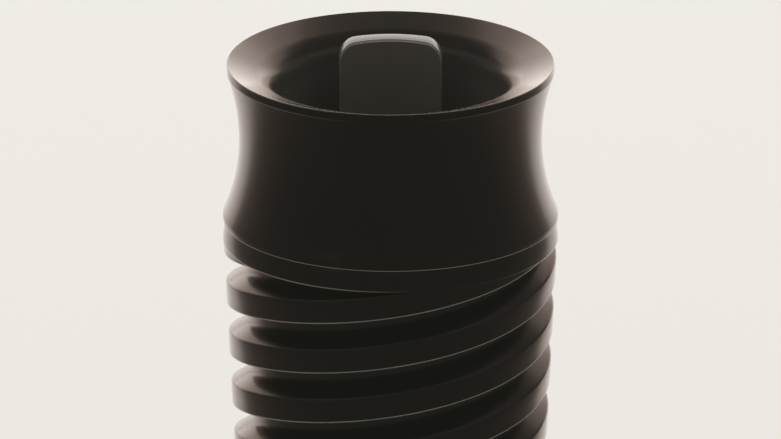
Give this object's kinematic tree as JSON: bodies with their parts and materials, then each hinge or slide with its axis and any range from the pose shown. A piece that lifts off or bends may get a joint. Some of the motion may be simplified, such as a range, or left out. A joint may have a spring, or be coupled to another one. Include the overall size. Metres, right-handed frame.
{
  "type": "dental implant",
  "caption": "Screw-shaped dental implant with a waisted neck, a funnel-mouthed socket holding an indexing tongue, and a tapered multi-start buttress thread down to a flat apex.",
  "frame": {"origin": "centre of the flat apex, the lowest face", "axes": "+Z along the long axis, from the apex up to the rim; the indexing tongue is at +Y, so the front faces -Y"},
  "size_m": [0.005, 0.005, 0.0124],
  "materials": {
    "coated_titanium": "near-black satin coating on turned titanium"
  },
  "bodies": {
    "root": {"implant_body": "coated_titanium"}
  },
  "joints": []
}
